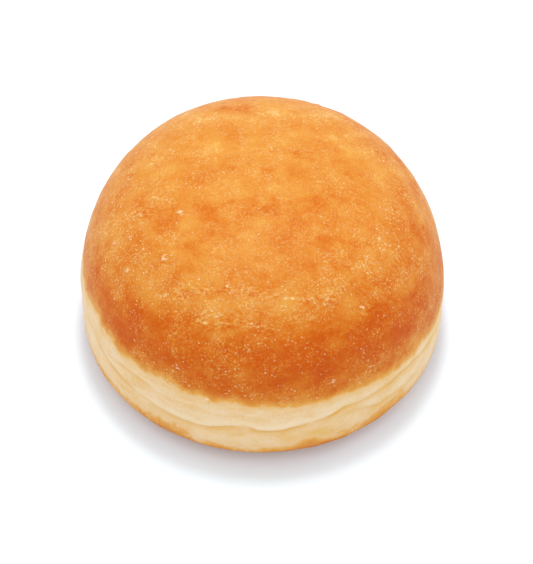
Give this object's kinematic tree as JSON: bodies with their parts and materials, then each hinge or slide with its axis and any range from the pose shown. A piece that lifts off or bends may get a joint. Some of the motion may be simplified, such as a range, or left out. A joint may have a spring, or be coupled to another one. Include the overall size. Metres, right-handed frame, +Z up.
{
  "type": "berliner doughnut",
  "caption": "Uncut round fried yeast doughnut with a browned dome and foot and a soft, folded pale waist between them.",
  "frame": {"origin": "middle of the flat foot that the doughnut rests on", "axes": "+Z up out of the crown, front of the picture towards -Y, +X to the right as the picture shows it"},
  "size_m": [0.0905, 0.09, 0.0549],
  "materials": {
    "fried_dough": "satin"
  },
  "bodies": {
    "root": {"doughnut": "fried_dough"}
  },
  "joints": []
}
